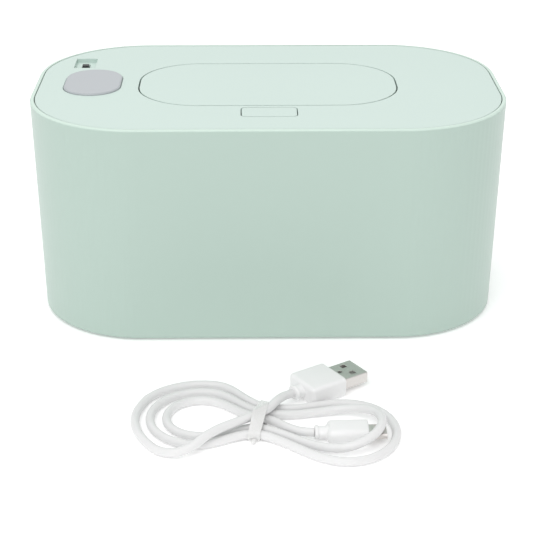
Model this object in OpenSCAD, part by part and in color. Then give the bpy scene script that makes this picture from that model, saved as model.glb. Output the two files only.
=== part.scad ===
// Baby wipe warmer: a tub with a lift-off heating cover, a flip lid and a USB lead.
// Origin: on the floor under the middle of the body. +X right, +Y back, +Z up.

/* [Body] */
// Width of the body at its rim
body_w = 200; // [192:1:215]
// Depth of the body at its rim, front to back
body_d = 123; // [121:1:132]
// Height of the rim above the floor
body_h = 93.5; // [88:0.5:110]
// Corner radius of the rim, seen from above
corner_r = 46; // [42:1:48]
// How far each wall leans in on its way from the rim to the floor
wall_lean = 1.6; // [0.4:0.1:2.2]
// Wall thickness of the outer shell
shell_t = 2.4; // [2:0.1:2.8]
// Floor thickness of the outer shell
shell_floor_t = 2.6; // [2.2:0.1:3.6]
// Width of the thin rim that stands around the cover
rim_t = 1.7; // [1.4:0.1:1.9]
// How far the rim stands above the cover
rim_stand = 0.1; // [0:0.1:0.8]
// Thickness of the ledge that carries the tank and the cover
ledge_t = 3; // [2:0.1:4]
// Height of the feet below the shell
foot_h = 1; // [0.6:0.1:3]
// Radius of each foot pad
foot_r = 7; // [5:0.5:9]
// How deep the foot pads sit in the shell floor
foot_sink = 0.8; // [0.4:0.1:1.2]
// Distance of the feet from the middle, sideways
foot_x = 66; // [55:1:70]
// Distance of the feet from the middle, front to back
foot_y = 36; // [30:1:38]

/* [Tank] */
// Distance of the tank wall from the rim outline
tank_in = 8.4; // [8:0.1:10]
// Wall thickness of the tank
tank_t = 1.6; // [1.2:0.1:2.2]
// Thickness of the tank flange
flange_t = 1.6; // [1.2:0.1:2.2]
// Space between the shell floor and the tank
tank_lift = 6; // [5:0.5:12]
// Thickness of the foam sleeve around the tank
sleeve_t = 2.5; // [1.5:0.1:2.7]
// Distance of the tank screws from the middle, sideways
screw_x = 45; // [35:1:50]
// Distance of the tank screws from the middle, front to back
screw_y = 26; // [20:1:27]
// Shank radius of the tank screws
screw_r = 1.5; // [1.2:0.1:1.7]
// Head radius of the tank screws
screw_head_r = 2.8; // [2.4:0.1:3.2]

/* [Cover] */
// Gap between the cover and the rim
cover_gap = 0.35; // [0.2:0.05:0.5]
// Height of the cover from its skirt's foot to its top
cover_h = 16; // [15.5:0.5:20]
// Thickness of the cover's top skin
skin_t = 2.2; // [1.9:0.1:2.6]
// Thickness of the cover's skirt
skirt_t = 1.8; // [1.4:0.1:2.2]
// Thickness of the tray that closes the cover from below
tray_t = 2; // [1.6:0.1:2.6]
// Thickness of the seal under the tray
seal_t = 0.8; // [0.6:0.1:0.9]
// Width of the seal
seal_w = 2.8; // [2:0.1:3.4]
// Thickness of the heater film
film_t = 0.3; // [0.2:0.05:0.5]
// Thickness of the aluminium heat plate
plate_t = 0.8; // [0.5:0.1:1.2]
// Distance of the dispensing throat from each side of the flip lid
throat_side = 12; // [11:0.5:15]
// Depth of the dispensing throat
throat_d = 34; // [28:1:36]
// Wall thickness of the throat
throat_t = 1.6; // [1.2:0.1:2]
// How far the throat's collar stands above the well floor
collar_h = 2.5; // [1.5:0.1:2.5]
// Thickness of the silicone dispensing lip
lip_t = 1.8; // [1.2:0.1:2.4]
// Distance of the lip's slot from each end of the throat
slot_side = 13; // [10:0.5:20]
// Width of the slot in the dispensing lip
lip_slot_d = 18; // [12:1:22]
// Radius of the bosses under the cover
boss_r = 2.8; // [2.5:0.1:3]
// Shank radius of the cover's screws
fix_r = 1; // [0.9:0.1:1.2]
// Head radius of the cover's screws
fix_head_r = 1.9; // [1.7:0.1:2.1]

/* [Flip lid] */
// Distance of the flip lid from each end of the body
lid_side = 45; // [44:0.5:48]
// Depth of the flip lid, front to back
lid_d = 59.8; // [57:0.1:60.2]
// Corner radius of the flip lid
lid_r = 25.5; // [22:0.5:28]
// Place of the flip lid's centre behind the body's centre
lid_y = 0.2; // [-0.4:0.1:1.8]
// Gap around the flip lid
lid_gap = 0.6; // [0.5:0.05:0.7]
// Thickness of the flip lid's skin
lid_t = 1.8; // [1.4:0.1:2]
// Thickness of the white liner under the flip lid
liner_t = 1.5; // [1:0.1:1.6]
// Thickness of the ring gasket under the liner
gasket_t = 1.8; // [1.2:0.1:1.9]
// Depth of the lid's well below the cover's top
well_depth = 8; // [7.8:0.1:9]
// Wall thickness of the lid's well
well_t = 1.8; // [1.4:0.1:1.9]
// Distance of the hinge axis behind the well
hinge_back = 4.5; // [4.3:0.1:5]
// Depth of the hinge axis below the cover's top
hinge_depth = 3.2; // [3:0.1:3.3]
// Radius of the hinge pin
hinge_pin_r = 0.8; // [0.6:0.05:0.9]
// Radius of the lid's hinge barrels
barrel_r = 1.5; // [1.3:0.05:1.5]
// Distance of each hinge arm from the middle
arm_x = 20; // [18:0.5:24]
// Width of each hinge arm
arm_w = 5; // [4:0.1:6]
// Thickness of each curved hinge arm
arm_t = 1.6; // [1.2:0.1:1.8]
// Width of each hinge lug
lug_w = 2.5; // [2:0.1:3]

/* [Latch] */
// Width of the latch button
latch_w = 22.5; // [21:0.5:24]
// Depth of the latch button, front to back
latch_d = 11.6; // [11:0.1:12.4]
// Corner radius of the latch button
latch_r = 2.2; // [1:0.1:3]
// Gap around the latch button
latch_gap = 0.4; // [0.2:0.05:0.45]
// Thickness of the latch button
latch_t = 2; // [1.6:0.1:2.2]
// Strip of the cover that shows between the lid's well and the latch button
latch_strip = 2; // [1.9:0.1:2.6]
// Travel of the latch button
latch_travel = 0.9; // [0.6:0.05:0.9]
// Half width of the latch hook
hook_half_w = 6; // [4:0.5:6.5]
// Depth of the hook's pivot below the cover's top
hook_depth = 9.9; // [9.7:0.1:10.2]
// Radius of the hook's pivot pin
hook_pin_r = 0.9; // [0.7:0.05:1.1]

/* [Controls] */
// Width of the grey heat button
pill_w = 24.3; // [22:0.1:26]
// Length of the grey heat button, front to back
pill_d = 35.8; // [32:0.1:37]
// How far the grey heat button stands above the cover
pill_stand = 0.8; // [0.4:0.1:1.2]
// Distance of the grey heat button's centre from the cover's left end
pill_in = 24.6; // [24.4:0.1:25]
// Place of the grey heat button's centre behind the body's centre
pill_y = 1.7; // [0.9:0.1:2.2]
// Gap around the grey heat button
pill_gap = 0.25; // [0.15:0.05:0.4]
// Travel of the grey heat button
pill_travel = 0.5; // [0.3:0.05:0.6]
// Width of the recess for the slide switch
recess_w = 9.4; // [8:0.1:10]
// Length of the recess for the slide switch
recess_d = 14.4; // [13:0.1:15]
// Depth of the recess for the slide switch
recess_h = 1.7; // [1.2:0.1:2]
// Distance of the recess's centre from the cover's left end
recess_in = 18.4; // [18:0.1:20]
// Place of the recess's centre behind the body's centre
recess_y = 31.6; // [31.2:0.1:32.4]
// Width of the slide switch's lever
lever_w = 2.8; // [2:0.1:3.2]
// Length of the slide switch's lever
lever_d = 2.8; // [2:0.1:3.4]
// Travel of the slide switch
lever_travel = 2.6; // [1.6:0.1:2.8]
// Thickness of the control board
board_t = 1.2; // [0.8:0.1:1.6]
// Space between the cover's skin and the control board
board_drop = 5.6; // [5.3:0.1:5.8]

/* [Lead] */
// Diameter of the lead
cord_d = 3.4; // [3:0.1:3.6]
// Turns of the hank, from the small plug to the free stretch
hank_turns = 2.43; // [2.41:0.01:2.45]
// Distance of each lobe's centre from the hank's middle
hank_half = 27.6; // [27:0.2:29]
// Lobe radius of the innermost turn
hank_r = 10.8; // [10.6:0.1:11.4]
// Distance of the innermost run from the middle at the waist
waist_in = 2; // [1.9:0.1:2.3]
// Free space from one turn to the next around the lobes
turn_gap = 2.8; // [2.5:0.1:3.2]
// Free space from one turn to the next at the waist
waist_gap = 0.8; // [0.6:0.1:0.9]
// How much smaller the right lobe is than the left one
lobe_less = 1.8; // [1.4:0.1:2]
// Width of the tie around the hank
tie_w = 4.6; // [3:0.1:6]
// Thickness of the tie
tie_t = 0.5; // [0.3:0.1:0.8]

/* [Hidden] */
$fn = 64;

// Small working values
eps = 0.01;
slice = 0.02;
fit = 0.05;
press = 0.15;

// Heights, from the floor up
shell_z = foot_h;
floor_z = shell_z + shell_floor_t;
tank_z = floor_z + tank_lift;
cover_top = body_h - rim_stand;
cover_z = cover_top - cover_h;
ledge_z = cover_z - flange_t;
skin_z = cover_top - skin_t;
tray_z = cover_z + seal_t + 0.1;
tray_top = tray_z + tray_t;
film_z = tray_z - film_t;
plate_z = film_z - plate_t;
board_top = skin_z - board_drop;
board_z = board_top - board_t;
well_z = cover_top - well_depth;
well_low = well_z - well_t;
collar_top = well_z + collar_h;

// Insets from the rim outline
cover_in = rim_t + cover_gap;
skirt_in = cover_in + skirt_t;
tray_in = skirt_in + press;
seal_in = tray_in + 0.6;
ledge_in = tank_in - 0.4;
flange_in = rim_t + 0.3;
plate_in = tank_in + tank_t + 1.5;
film_in = plate_in + 2;
board_in = skirt_in + 0.8;
rim_edge = 0.5;
cavity_edge = 1.2;

// Flip lid and its well
lid_w = body_w - 2 * lid_side;
throat_w = lid_w - 2 * throat_side;
lip_slot_w = throat_w - 2 * slot_side;
lid_edge_t = 0.7;
lid_edge_in = 0.5;
lid_front = lid_y - lid_d / 2;
lid_back = lid_y + lid_d / 2;
well_front = lid_front - lid_gap;
well_back = lid_back + lid_gap;
lid_low = cover_top - lid_t;
liner_z = lid_low - liner_t;
gasket_z = liner_z - gasket_t;
hinge_y = well_back + hinge_back;
hinge_z = cover_top - hinge_depth;
strip_t = 1.5;
bay_gap = 0.4;
arm_in_r = 5.9;
arm_out_r = arm_in_r + arm_t;
lid_skirt_in = 1.5;
lid_skirt_t = 1.4;
lid_skirt_z = hinge_z - 2.9;
lip_bar_z = well_z + 0.7;
lip_bar_h = 1.4;
lug_in_x = 6;
spring_r = 1.25;
spring_wire_r = 0.2;
spring_turns = 6;

// Latch
latch_y = well_front - latch_strip - latch_gap - latch_d / 2;
hook_y = latch_y + 1.8;
hook_z = cover_top - hook_depth;
hook_boss_r = 2.2;
nose_low = lip_bar_z + lip_bar_h + 0.2;
nose_top = nose_low + 1.6;
nose_y = lid_front - 0.35;
hook_wall_y = well_front - well_t;
hook_back = hook_wall_y - 1.5;
hook_t = 2.4;
arm_top = hook_z + 1.6;
arm_end = hook_y - 7.8;
stem_y = arm_end + 0.5;
hook_lug_w = 2.2;
latch_spring_r = 1.5;
latch_wire_r = 0.25;
latch_spring_turns = 3;
latch_spring_y = hook_y - 5;

// Controls
pill_x = -body_w / 2 + pill_in;
pill_r = pill_w / 2;
pill_flange = 1;
pill_skin = 2;
pill_low = skin_z - 1.1;
recess_x = -body_w / 2 + recess_in;
recess_z = cover_top - recess_h;
recess_skin = 1.5;
slot_gap = 0.4;
slot_d = lever_d + lever_travel + 2 * slot_gap;
switch_w = 4.4;
switch_d = 9;
switch_h = 3.5;
switch_top = board_top + switch_h;
switch_deep = 1.5;
tact_w = 6;
tact_h = 3.5;
tact_tip = 0.8;
tact_top = board_top + tact_h + tact_tip;
led_w = 5;
led_h = 1.6;

// Board outline: a field under the controls and a strip along the back
board_side = 12.5;
board_field = 27.5;
board_ahead = 28.8;
board_left = -body_w / 2 + board_side;
board_right = board_left + board_field;
board_front = pill_y - board_ahead;
board_back = body_d / 2 - skirt_in - 1.5;
strip_d = 14;
strip_right = 14;
led_off = 10;
led_y = pill_y + led_off;
sensor_side = 31;
sensor_off = 26.7;
sensor_x = -body_w / 2 + sensor_side;
sensor_y = pill_y + sensor_off;
sensor_r = 1.8;
wire_side = 37;
wire_x = -body_w / 2 + wire_side;
wire_r = 0.7;
wire_gap = 4;
cushion_x = 8;
cushion_r = 1.6;
fix_front = 24.8;
fix_behind = 24;
fix_side = 36.5;
fix_strip = 55;
fix_strip_in = 5.5;
fix_end = 4.5;
fix_end_in = 9.5;
board_fix = [[pill_x, pill_y - fix_front], [-body_w / 2 + fix_side, pill_y + fix_behind],
    [-body_w / 2 + fix_strip, board_back - fix_strip_in], [strip_right - fix_end, board_back - fix_end_in]];
tray_end = 8;
tray_end_y = 20;
tray_corner = 17;
tray_corner_y = 23.5;
tray_front = 7.5;
tray_back = 9;
tray_back_x = 38;
tray_fix = [[-body_w / 2 + tray_end, tray_end_y], [-body_w / 2 + tray_corner, -body_d / 2 + tray_corner_y],
    [0, -body_d / 2 + tray_front], [body_w / 2 - tray_corner, -body_d / 2 + tray_corner_y],
    [body_w / 2 - tray_corner, body_d / 2 - tray_corner_y], [tray_back_x, body_d / 2 - tray_back]];
fix_head_h = 1.2;
fix_slot = 0.25;
fix_slot_l = 1.1;
fix_slot_h = 0.6;
tray_bite = 7;
board_bite = 4;

// Power socket inside the cover's skirt, and the window that the small plug's grip passes through
socket_w = 8.94;
socket_h = 3.26;
socket_l = 7.35;
socket_t = 0.3;
window_boss = 1;
window_wall = 2;
socket_mouth = body_d / 2 - skirt_in - window_boss - fit;
socket_z = board_top + socket_h / 2;
window_w = 13;
window_h = 7.8;
window_r = 2.5;

// Lead: the hank's frame on the floor, and its plugs
cord_r = cord_d / 2;
turn_step = cord_d + turn_gap;
waist_step = cord_d + waist_gap;
hank_x = 0.2;
hank_y = -131.5;
hank_turn = -12.5;
hank_rings = 24;
hank_sides = 6;
plug_c_x = 16.4;
plug_c_y = -4.2;
plug_c_turn = 13;
lobe_flat = 0.9;
lift = 5.2;
lift_at = 0.875;
lift_half = 0.2;
plug_c_h = 6;
plug_c_w = 11;
plug_c_l = 15.5;
collar_c_l = 4.4;
collar_c_w = 7.4;
collar_c_h = 5;
tip_c_l = 6.6;
tip_c_w = 8.3;
tip_c_h = 2.4;
waist_x = -4;
tie_x = -5;
tie_rise = tie_t + 0.1;
tie_reach = 14;
tie_room = 0.3;
tail_sides = 8;
plug_a_at = [3.5, 20.9];
plug_a_turn = 46;
plug_a_h = 8;
plug_a_w = 16.7;
plug_a_l = 16;
collar_a_l = 3.7;
collar_a_w = 7;
collar_a_h = 6;
tip_a_l = 12;
tip_a_w = 12;
tip_a_h = 4.5;
tip_t = 0.3;
tip_edge = 0.2;
plug_a_corner = 2.5;
tail_over = 1.5 * cord_d + tie_rise + 0.6;
// The free stretch, in the hank's frame, from the hank's end to the large plug
tail_route = [[-43, -21.8, cord_r], [-37.4, -26.2, 1.8], [-30.8, -27.4, 2.4], [-25, -24.6, 4],
    [-20.8, -19, 5.9], [-16.4, -13, tail_over], [-11.4, -7.4, tail_over], [-6.4, -1.8, tail_over],
    [-2.6, 4.2, tail_over], [-0.6, 10.4, tail_over], [1, 15.8, 5.3]];

// ---------- outlines and small helpers ----------

// Rounded rectangle, centred
module rounded(w, d, r) {
    square([w - 2 * r, d], center = true);
    square([w, d - 2 * r], center = true);
    for (x = [-1, 1], y = [-1, 1]) {
        translate([x * (w / 2 - r), y * (d / 2 - r)])
            circle(r);
    }
}

// The body's rim outline, drawn in by an inset
module outline(inset) {
    rounded(body_w - 2 * inset, body_d - 2 * inset, corner_r - inset);
}

// The flip lid's outline, grown by a margin
module lid_outline(grow) {
    translate([0, lid_y])
        rounded(lid_w + 2 * grow, lid_d + 2 * grow, lid_r + grow);
}

// The throat's outline, grown by a margin
module throat_outline(grow) {
    translate([0, lid_y])
        rounded(throat_w + 2 * grow, throat_d + 2 * grow, throat_d / 2 + grow - eps);
}

// The grey button's outline, grown by a margin
module pill_outline(grow) {
    translate([pill_x, pill_y])
        rounded(pill_w + 2 * grow, pill_d + 2 * grow, pill_r + grow - eps);
}

// The latch button's outline, grown by a margin
module latch_outline(grow) {
    translate([0, latch_y])
        rounded(latch_w + 2 * grow, latch_d + 2 * grow, latch_r + grow);
}

module prism(z0, z1) {
    translate([0, 0, z0])
        linear_extrude(z1 - z0)
            children();
}

// Block between two corners
module block(low, high) {
    translate(low)
        cube(high - low);
}

// Rod along X
module rod_x(x0, x1, y, z, r) {
    translate([x0, y, z])
        rotate([0, 90, 0])
            cylinder(r = r, h = x1 - x0);
}

// How far the outer wall has leaned in at a height
function lean(z) = wall_lean * (body_h - z) / (body_h - shell_z);

// Leaning block that follows the body's walls, with bevelled edges
module leaning_block(z0, z1, inset, edge_low, edge_high) {
    hull() {
        prism(z0, z0 + slice)
            outline(lean(z0) + inset + edge_low, $fn = 96);
        prism(z0 + edge_low, z0 + edge_low + slice)
            outline(lean(z0 + edge_low) + inset, $fn = 96);
        prism(z1 - edge_high - slice, z1 - edge_high)
            outline(lean(z1 - edge_high) + inset, $fn = 96);
        prism(z1 - slice, z1)
            outline(lean(z1) + inset + edge_high, $fn = 96);
    }
}

// ---------- curves and tubes ----------

function unit(v) = v / norm(v);

// Direction of a route at one of its points
function heading(route, i) =
    unit(route[min(i + 1, len(route) - 1)] - route[max(i - 1, 0)]);

// One ring of a tube, square to a heading that never points straight up
function ring_at(p, dir, r, sides) =
    let (side = unit(cross(dir, [0, 0, 1])), up = cross(side, dir))
    [for (k = [0:sides - 1]) p + r * (cos(360 * k / sides) * side + sin(360 * k / sides) * up)];

// Tube through the points of a route; headings at both ends may be given
module tube(route, r, sides, first_dir, last_dir) {
    n = len(route);
    dirs = [for (i = [0:n - 1])
        i == 0 && !is_undef(first_dir) ? unit(first_dir)
        : i == n - 1 && !is_undef(last_dir) ? unit(last_dir) : heading(route, i)];
    rings = [for (i = [0:n - 1]) each ring_at(route[i], dirs[i], r, sides)];
    walls = [for (i = [0:n - 2], k = [0:sides - 1])
        let (a = i * sides + k, b = i * sides + (k + 1) % sides)
        each [[a, a + sides, b + sides], [a, b + sides, b]]];
    first_cap = [for (k = [1:sides - 2]) [0, k, k + 1]];
    last = (n - 1) * sides;
    last_cap = [for (k = [1:sides - 2]) [last, last + k + 1, last + k]];
    polyhedron(points = rings, faces = concat(walls, first_cap, last_cap));
}

// Smooth curve through four points, between the middle two
function between(a, b, c, d, t) =
    0.5 * (2 * b + (c - a) * t + (2 * a - 5 * b + 4 * c - d) * t * t
        + (3 * b - a - 3 * c + d) * t * t * t);

// A route with one more point in the middle of each of its stretches
function smoothed(route) =
    let (n = len(route))
    [for (i = [0:n - 2], t = [0, 0.5])
        between(route[max(i - 1, 0)], route[i], route[i + 1], route[min(i + 2, n - 1)], t),
        route[n - 1]];

// ---------- the hank ----------

// Lobe radius and waist distance after u turns
function lobe_r(u) = hank_r + turn_step * u;
function waist(u) = waist_in + waist_step * u;
function right_r(u) = lobe_r(u) - lobe_less;

// Distance of a long run from the middle line: widest at the lobes, narrowest at the waist
function run_off(u, x) =
    let (r = x > waist_x ? right_r(u) : lobe_r(u),
        f = x > waist_x ? (x - waist_x) / (hank_half - waist_x) : (waist_x - x) / (hank_half + waist_x))
    (r + waist(u)) / 2 - (r - waist(u)) / 2 * cos(180 * f);

// The first run, from the small plug's collar to the waist
function first_run(u, f) =
    waist(u) + (plug_c_y - waist(u) - tan(plug_c_turn) * (1 - f) * (plug_c_x - waist_x))
        * (1 - cos(180 * f)) / 2;

// The hank's path in its own plane: back run, left lobe, front run, right lobe
function hank_plan(u) =
    let (quarter = floor(4 * u), f = 4 * u - quarter, side = quarter % 4, x = hank_half * (1 - 2 * f))
    u < 1 && x > waist_x && side == 0 ? [x, first_run(u, (x - waist_x) / (plug_c_x - waist_x))]
    : side == 0 ? [x, run_off(u, x)]
    : side == 1 ? [-hank_half + lobe_r(u) * cos(90 + 180 * f), lobe_r(u) * sin(90 + 180 * f)]
    : side == 2 ? [-x, -run_off(u, -x)]
    : [hank_half + lobe_flat * right_r(u) * cos(180 * f - 90), right_r(u) * sin(180 * f - 90)];

// The runs rise a little where the tie passes under them, and at the small plug
function tie_bump(x) =
    abs(x - tie_x) < tie_reach ? tie_rise * (1 + cos(180 * (x - tie_x) / tie_reach)) / 2 : 0;
function plug_bump(u, x) =
    u < 0.2 && x > waist_x
    ? (plug_c_h / 2 - cord_r) * (1 - cos(180 * (x - waist_x) / (plug_c_x - waist_x))) / 2 : 0;
// The innermost turn passes over the small plug's tip
function lift_bump(u) =
    abs(u - lift_at) < lift_half ? lift * (1 + cos(180 * (u - lift_at) / lift_half)) / 2 : 0;
function hank_point(u) =
    let (p = hank_plan(u)) [p[0], p[1], cord_r + tie_bump(p[0]) + plug_bump(u, p[0]) + lift_bump(u)];

// The first run starts at the small plug's collar
hank_start = (1 - plug_c_x / hank_half) / 8;
function hank_path(per_turn) =
    let (steps = ceil((hank_turns - hank_start) * per_turn))
    [for (i = [0:steps]) hank_point(hank_start + (hank_turns - hank_start) * i / steps)];

// Least distance between parts of one route that lie more than a bend apart, less the cord
function self_gap(route, apart) =
    min([for (i = [0:len(route) - 1 - apart], j = [i + apart:len(route) - 1])
        norm(route[i] - route[j])]) - cord_d;
function route_gap(a, b) =
    min([for (p = a, q = b) norm(p - q)]) - cord_d;
function route_length(route) =
    len(route) < 2 ? 0
    : [for (i = 0, s = 0; i < len(route); i = i + 1,
        s = s + (i < len(route) ? norm(route[i] - route[i - 1]) : 0)) s][len(route) - 1];

hank_end = hank_point(hank_turns);
hank_end_dir = hank_point(hank_turns + 0.002) - hank_point(hank_turns - 0.002);
plug_a_dir = [cos(plug_a_turn), sin(plug_a_turn), 0];
plug_a_start = [plug_a_at[0], plug_a_at[1], plug_a_h / 2];
tail_points = smoothed(concat([hank_end], tail_route, [plug_a_start]));

// The hank's frame on the floor
module on_floor() {
    translate([hank_x, hank_y, 0])
        rotate([0, 0, hank_turn])
            children();
}

// Frame of a plug: +X along the plug from its cord end, at the middle of its thickness
module at_plug_a() {
    on_floor()
        translate(plug_a_start)
            rotate([0, 0, plug_a_turn])
                children();
}

module at_plug_c() {
    on_floor()
        translate([plug_c_x, plug_c_y, plug_c_h / 2])
            rotate([0, 0, plug_c_turn])
                children();
}

// Rounded bar along +X, from x0 to x1, w wide and h high
module bar(x0, x1, w, h, r) {
    translate([x0, 0, 0])
        rotate([90, 0, 90])
            linear_extrude(x1 - x0)
                rounded(w, h, r);
}

// Window in the shell and in the cover's skirt, around the power socket's axis
module plug_window(y0, y1) {
    translate([0, y0, socket_z])
        rotate([-90, 0, 0])
            linear_extrude(y1 - y0)
                rounded(window_w, window_h, window_r);
}

// ---------- base ----------

// One moulding: leaning walls, floor, inner ledge and the thin rim above it
module outer_shell() {
    color([0.75, 0.84, 0.80])
        difference() {
            leaning_block(shell_z, body_h, 0, rim_edge, rim_edge);
            leaning_block(floor_z, ledge_z - ledge_t, shell_t, cavity_edge, eps);
            prism(ledge_z - ledge_t - 1, ledge_z + 1)
                outline(ledge_in);
            prism(ledge_z, body_h + 1)
                outline(rim_t);
            plug_window(body_d / 2 - shell_t - 2, body_d / 2 + 2);
            for (x = [-1, 1], y = [-1, 1]) {
                translate([x * screw_x, y * screw_y, shell_z - 1])
                    cylinder(r = screw_head_r + 0.4, h = 1 + tank_head_h);
                translate([x * screw_x, y * screw_y, shell_z])
                    cylinder(r = screw_r + 0.2, h = shell_floor_t + 1);
                translate([x * foot_x, y * foot_y, shell_z - 1])
                    cylinder(r = foot_r + 0.1, h = 1 + foot_sink);
            }
        }
}
tank_head_h = 1.3;
tank_screw_l = 6.4;

// Removable white tank that holds the wipes; its flange lies on the ledge
module inner_tank() {
    color([0.93, 0.95, 0.94])
        difference() {
            union() {
                prism(tank_z, cover_z)
                    outline(tank_in);
                prism(ledge_z, cover_z)
                    outline(flange_in);
                for (x = [-1, 1], y = [-1, 1]) {
                    translate([x * screw_x, y * screw_y, floor_z])
                        cylinder(r = screw_r + 2.1, h = tank_lift + eps);
                }
            }
            prism(tank_z + tank_t, cover_z + 1)
                outline(tank_in + tank_t);
            for (x = [-1, 1], y = [-1, 1]) {
                translate([x * screw_x, y * screw_y, floor_z - 1])
                    cylinder(r = screw_r, h = 1 + tank_lift - 0.2);
            }
        }
}

module foam_sleeve() {
    color([0.96, 0.94, 0.90])
        prism(floor_z, ledge_z - ledge_t - 0.5)
            difference() {
                outline(tank_in - 0.2 - sleeve_t);
                outline(tank_in - 0.2);
            }
}

module tank_screws() {
    head_z = shell_z + 0.1;
    color([0.75, 0.75, 0.77])
        for (x = [-1, 1], y = [-1, 1]) {
            translate([x * screw_x, y * screw_y, 0])
                difference() {
                    union() {
                        translate([0, 0, head_z])
                            cylinder(r = screw_head_r, h = tank_head_h - 0.1);
                        translate([0, 0, head_z])
                            cylinder(r = screw_r, h = tank_screw_l);
                    }
                    block([-1.6, -0.35, head_z - 1], [1.6, 0.35, head_z + 0.7]);
                    block([-0.35, -1.6, head_z - 1], [0.35, 1.6, head_z + 0.7]);
                }
        }
}

module foot_pads() {
    edge = 0.4;
    color([0.85, 0.87, 0.86])
        for (x = [-1, 1], y = [-1, 1]) {
            translate([x * foot_x, y * foot_y, 0]) {
                cylinder(r1 = foot_r - edge, r2 = foot_r, h = edge);
                translate([0, 0, edge])
                    cylinder(r = foot_r, h = foot_h + foot_sink - edge);
            }
        }
}

// ---------- cover ----------

// Places of the four hinge lugs: one on each side of each arm, clear of its springs
lug_places = [for (s = [-1, 1]) each
    [[s * (arm_x + arm_w / 2 + bay_gap), s * (arm_x + arm_w / 2 + bay_gap + lug_w)],
        [s * lug_in_x, s * (lug_in_x + lug_w)]]];

// Bays that the curved hinge arms swing through
module hinge_bays() {
    for (s = [-1, 1]) {
        x = s * arm_x;
        block([x - arm_w / 2 - bay_gap, hinge_y - arm_out_r - 0.5, hinge_z - arm_out_r - 0.4],
            [x + arm_w / 2 + bay_gap, hinge_y + 2.2, cover_top - strip_t]);
    }
    // Room for the springs between the inner lugs and the arms
    for (s = [-1, 1]) {
        a = s * (lug_in_x + lug_w);
        b = s * (arm_x - arm_w / 2);
        block([min(a, b), hinge_y - 2.2, hinge_z - 2.4], [max(a, b), hinge_y + 2.2, cover_top - strip_t]);
    }
}

// Everything solid under the cover's skin
module cover_solids() {
    prism(skin_z, cover_top)
        outline(cover_in);
    prism(cover_z, cover_top - eps)
        difference() {
            outline(cover_in);
            outline(skirt_in);
        }
    prism(well_low, cover_top - eps)
        lid_outline(lid_gap + well_t);
    prism(cover_z, collar_top)
        throat_outline(throat_t);
    // Guides of the two buttons
    prism(skin_z - 4, skin_z + eps)
        latch_outline(latch_gap + 1.2);
    prism(recess_z - recess_skin, skin_z + eps)
        translate([recess_x, recess_y])
            square([recess_w + 3, recess_d + 3], center = true);
    for (p = board_fix) {
        translate([p[0], p[1], board_top])
            cylinder(r = boss_r, h = skin_z - board_top + eps);
    }
    for (p = tray_fix) {
        translate([p[0], p[1], tray_top])
            cylinder(r = boss_r, h = skin_z - tray_top + eps);
    }
    // Frame of the plug window, on the inside of the skirt
    block([-window_w / 2 - window_wall, body_d / 2 - skirt_in - window_boss,
        socket_z - window_h / 2 - window_wall],
        [window_w / 2 + window_wall, body_d / 2 - skirt_in + eps, skin_z + eps]);
    for (x = lug_places) {
        block([min(x), hinge_y - 2, hinge_z - 2.2], [max(x), hinge_y + 2.2, skin_z + eps]);
    }
    // Lugs of the latch hook, standing out from the well's front wall
    for (s = [-1, 1]) {
        a = s * (hook_half_w + 0.3);
        b = s * (hook_half_w + 0.3 + hook_lug_w);
        block([min(a, b), hook_y - 2.2, hook_z - 2], [max(a, b), hook_wall_y + eps, nose_low - 0.6]);
    }
}

module cover_plate() {
    color([0.83, 0.91, 0.88])
        difference() {
            cover_solids();
            // Well for the flip lid, with the collar left standing
            difference() {
                prism(well_z, cover_top + 1)
                    lid_outline(lid_gap);
                prism(well_z - 1, collar_top)
                    throat_outline(throat_t);
            }
            prism(cover_z - 1, cover_top + 1)
                throat_outline(0);
            prism(skin_z - 5, cover_top + 1)
                latch_outline(latch_gap);
            prism(skin_z - 1, cover_top + 1)
                pill_outline(pill_gap);
            prism(recess_z, cover_top + 1)
                translate([recess_x, recess_y])
                    square([recess_w, recess_d], center = true);
            prism(recess_z - recess_skin - 1, cover_top)
                translate([recess_x, recess_y])
                    square([lever_w + 2 * slot_gap, slot_d], center = true);
            hinge_bays();
            rod_x(-arm_x - arm_w / 2 - bay_gap - lug_w - 1, arm_x + arm_w / 2 + bay_gap + lug_w + 1,
                hinge_y, hinge_z, hinge_pin_r);
            // Slot for the hook's nose, and room for the hook itself
            block([-hook_half_w - 0.3, hook_back - 0.5, nose_low - 0.7],
                [hook_half_w + 0.3, well_front + 1, skin_z - 0.3]);
            rod_x(-hook_half_w - hook_lug_w - 1, hook_half_w + hook_lug_w + 1, hook_y, hook_z, hook_pin_r);
            for (p = board_fix) {
                translate([p[0], p[1], board_top - 1])
                    cylinder(r = fix_r, h = skin_z - board_top + 0.6);
            }
            for (p = tray_fix) {
                translate([p[0], p[1], tray_top - 1])
                    cylinder(r = fix_r, h = skin_z - tray_top + 0.6);
            }
            plug_window(body_d / 2 - skirt_in - window_boss - 0.6, body_d / 2);
        }
}

module cover_tray() {
    color([0.92, 0.94, 0.93])
        difference() {
            prism(tray_z, tray_top)
                outline(tray_in);
            prism(tray_z - 1, tray_top + 1)
                throat_outline(throat_t + press);
            for (p = tray_fix) {
                translate([p[0], p[1], tray_z - 1])
                    cylinder(r = fix_r + 0.15, h = tray_t + 2);
                translate([p[0], p[1], tray_z - 1])
                    cylinder(r = fix_head_r + 0.1, h = 1 + fix_head_h);
            }
            translate([sensor_x, sensor_y, tray_z - 1])
                cylinder(r = sensor_r + 0.1, h = tray_t + 2);
            for (y = [-0.5, 0.5]) {
                translate([wire_x, pill_y + y * wire_gap, tray_z - 1])
                    cylinder(r = wire_r + 0.1, h = tray_t + 2);
            }
        }
}

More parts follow.
